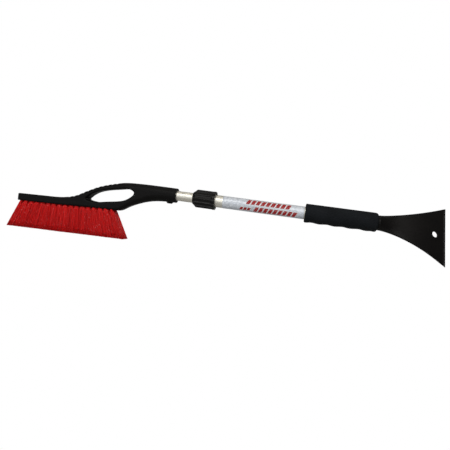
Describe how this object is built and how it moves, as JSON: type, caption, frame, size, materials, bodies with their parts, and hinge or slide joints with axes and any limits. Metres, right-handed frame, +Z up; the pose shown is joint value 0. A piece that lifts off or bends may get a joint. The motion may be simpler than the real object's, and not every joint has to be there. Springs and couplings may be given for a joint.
{
  "type": "snow brush with ice scraper",
  "caption": "Telescoping snow brush: bristle head with hand loop on a thin tube, twist collar, foam-gripped outer tube and a flared ice scraper blade with a hang hole.",
  "frame": {"origin": "middle of the tool's box in plan, at the height of its lowest bristle tips", "axes": "+X along the tubes from the brush to the scraper blade, +Z up with the bristles pointing down, +Y across the brush"},
  "size_m": [0.9218, 0.0682, 0.1627],
  "materials": {
    "aluminium": "satin drawn tube",
    "label_film": "silver film with a red pattern",
    "foam": "closed-cell foam",
    "nylon": "natural nylon",
    "steel": "zinc plated",
    "black_blade": "smooth moulded",
    "black_plastic": "satin moulded",
    "red_filament": "crimped filament"
  },
  "bodies": {
    "pole": {"outer_tube": "aluminium", "label_sleeve": "label_film", "foam_grip": "foam", "lock_body": "nylon", "lock_pins": "steel", "stop_bush": "nylon", "scraper_blade": "black_blade", "blade_pin": "steel"},
    "clamp": {"clamp_ring": "nylon"},
    "collar": {"twist_collar": "black_plastic"},
    "guide": {"guide_ring": "nylon"},
    "head": {"inner_tube": "aluminium", "tube_plug": "nylon", "plug_pin": "steel", "brush_head": "black_plastic", "head_screw": "steel", "tuft_anchors": "steel", "bristle_row_1": "red_filament", "bristle_row_2": "red_filament", "bristle_row_3": "red_filament", "bristle_row_4": "red_filament"}
  },
  "joints": [
    {"name": "ring_slide", "type": "slide", "parent": "pole", "child": "clamp", "axis": [-1, 0, 0], "range_m": [0, 0.001]},
    {"name": "collar_twist", "type": "hinge", "parent": "clamp", "child": "collar", "pos_m": [-0.01885, -0.01513, 0.11609], "axis": [-1, 0, 0], "range_deg": [0, 120]},
    {"name": "head_slide", "type": "slide", "parent": "pole", "child": "guide", "axis": [-1, 0, 0], "range_m": [0, 0.235]},
    {"name": "head_swivel", "type": "hinge", "parent": "guide", "child": "head", "pos_m": [0.06715, -0.01513, 0.11609], "axis": [1, 0, 0], "continuous": true}
  ],
  "couplings": [
    {"joint": "collar_twist", "follows": "ring_slide", "rad_per_m": 2094.4}
  ]
}
